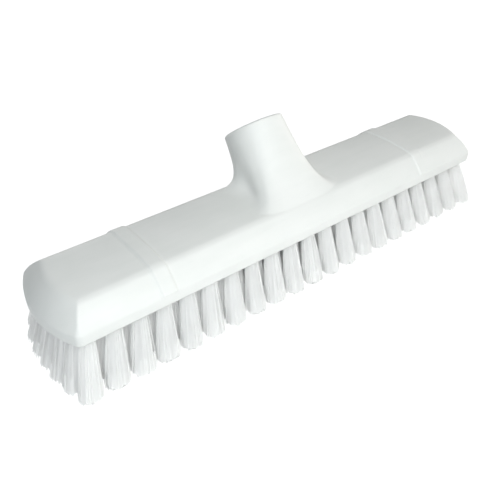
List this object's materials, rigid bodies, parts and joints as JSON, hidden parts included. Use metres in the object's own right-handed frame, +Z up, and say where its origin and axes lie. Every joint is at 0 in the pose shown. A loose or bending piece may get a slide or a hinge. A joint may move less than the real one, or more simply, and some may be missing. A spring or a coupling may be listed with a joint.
{
  "type": "deck brush head",
  "caption": "Scrubbing brush head: long bow-ended block with sloping shoulders, raised bands, a flared leaning handle socket and splayed rows of stiff bristle tufts underneath.",
  "frame": {"origin": "middle of the bottom of the head's bounding box, on the floor that the bristle tips stand on", "axes": "+Z up from the tips to the block, +X along the block, +Y the way the handle socket leans; the front is -Y"},
  "size_m": [0.3038, 0.0764, 0.0857],
  "materials": {
    "moulding": "satin, white, moulded",
    "bristle": "white filaments, slightly translucent"
  },
  "bodies": {
    "root": {"block_with_socket": "moulding", "bristle_row_1": "bristle", "bristle_row_2": "bristle", "bristle_row_3": "bristle", "bristle_row_4": "bristle", "bristle_row_5": "bristle", "bristle_row_6": "bristle", "bristle_row_7": "bristle"}
  },
  "joints": []
}
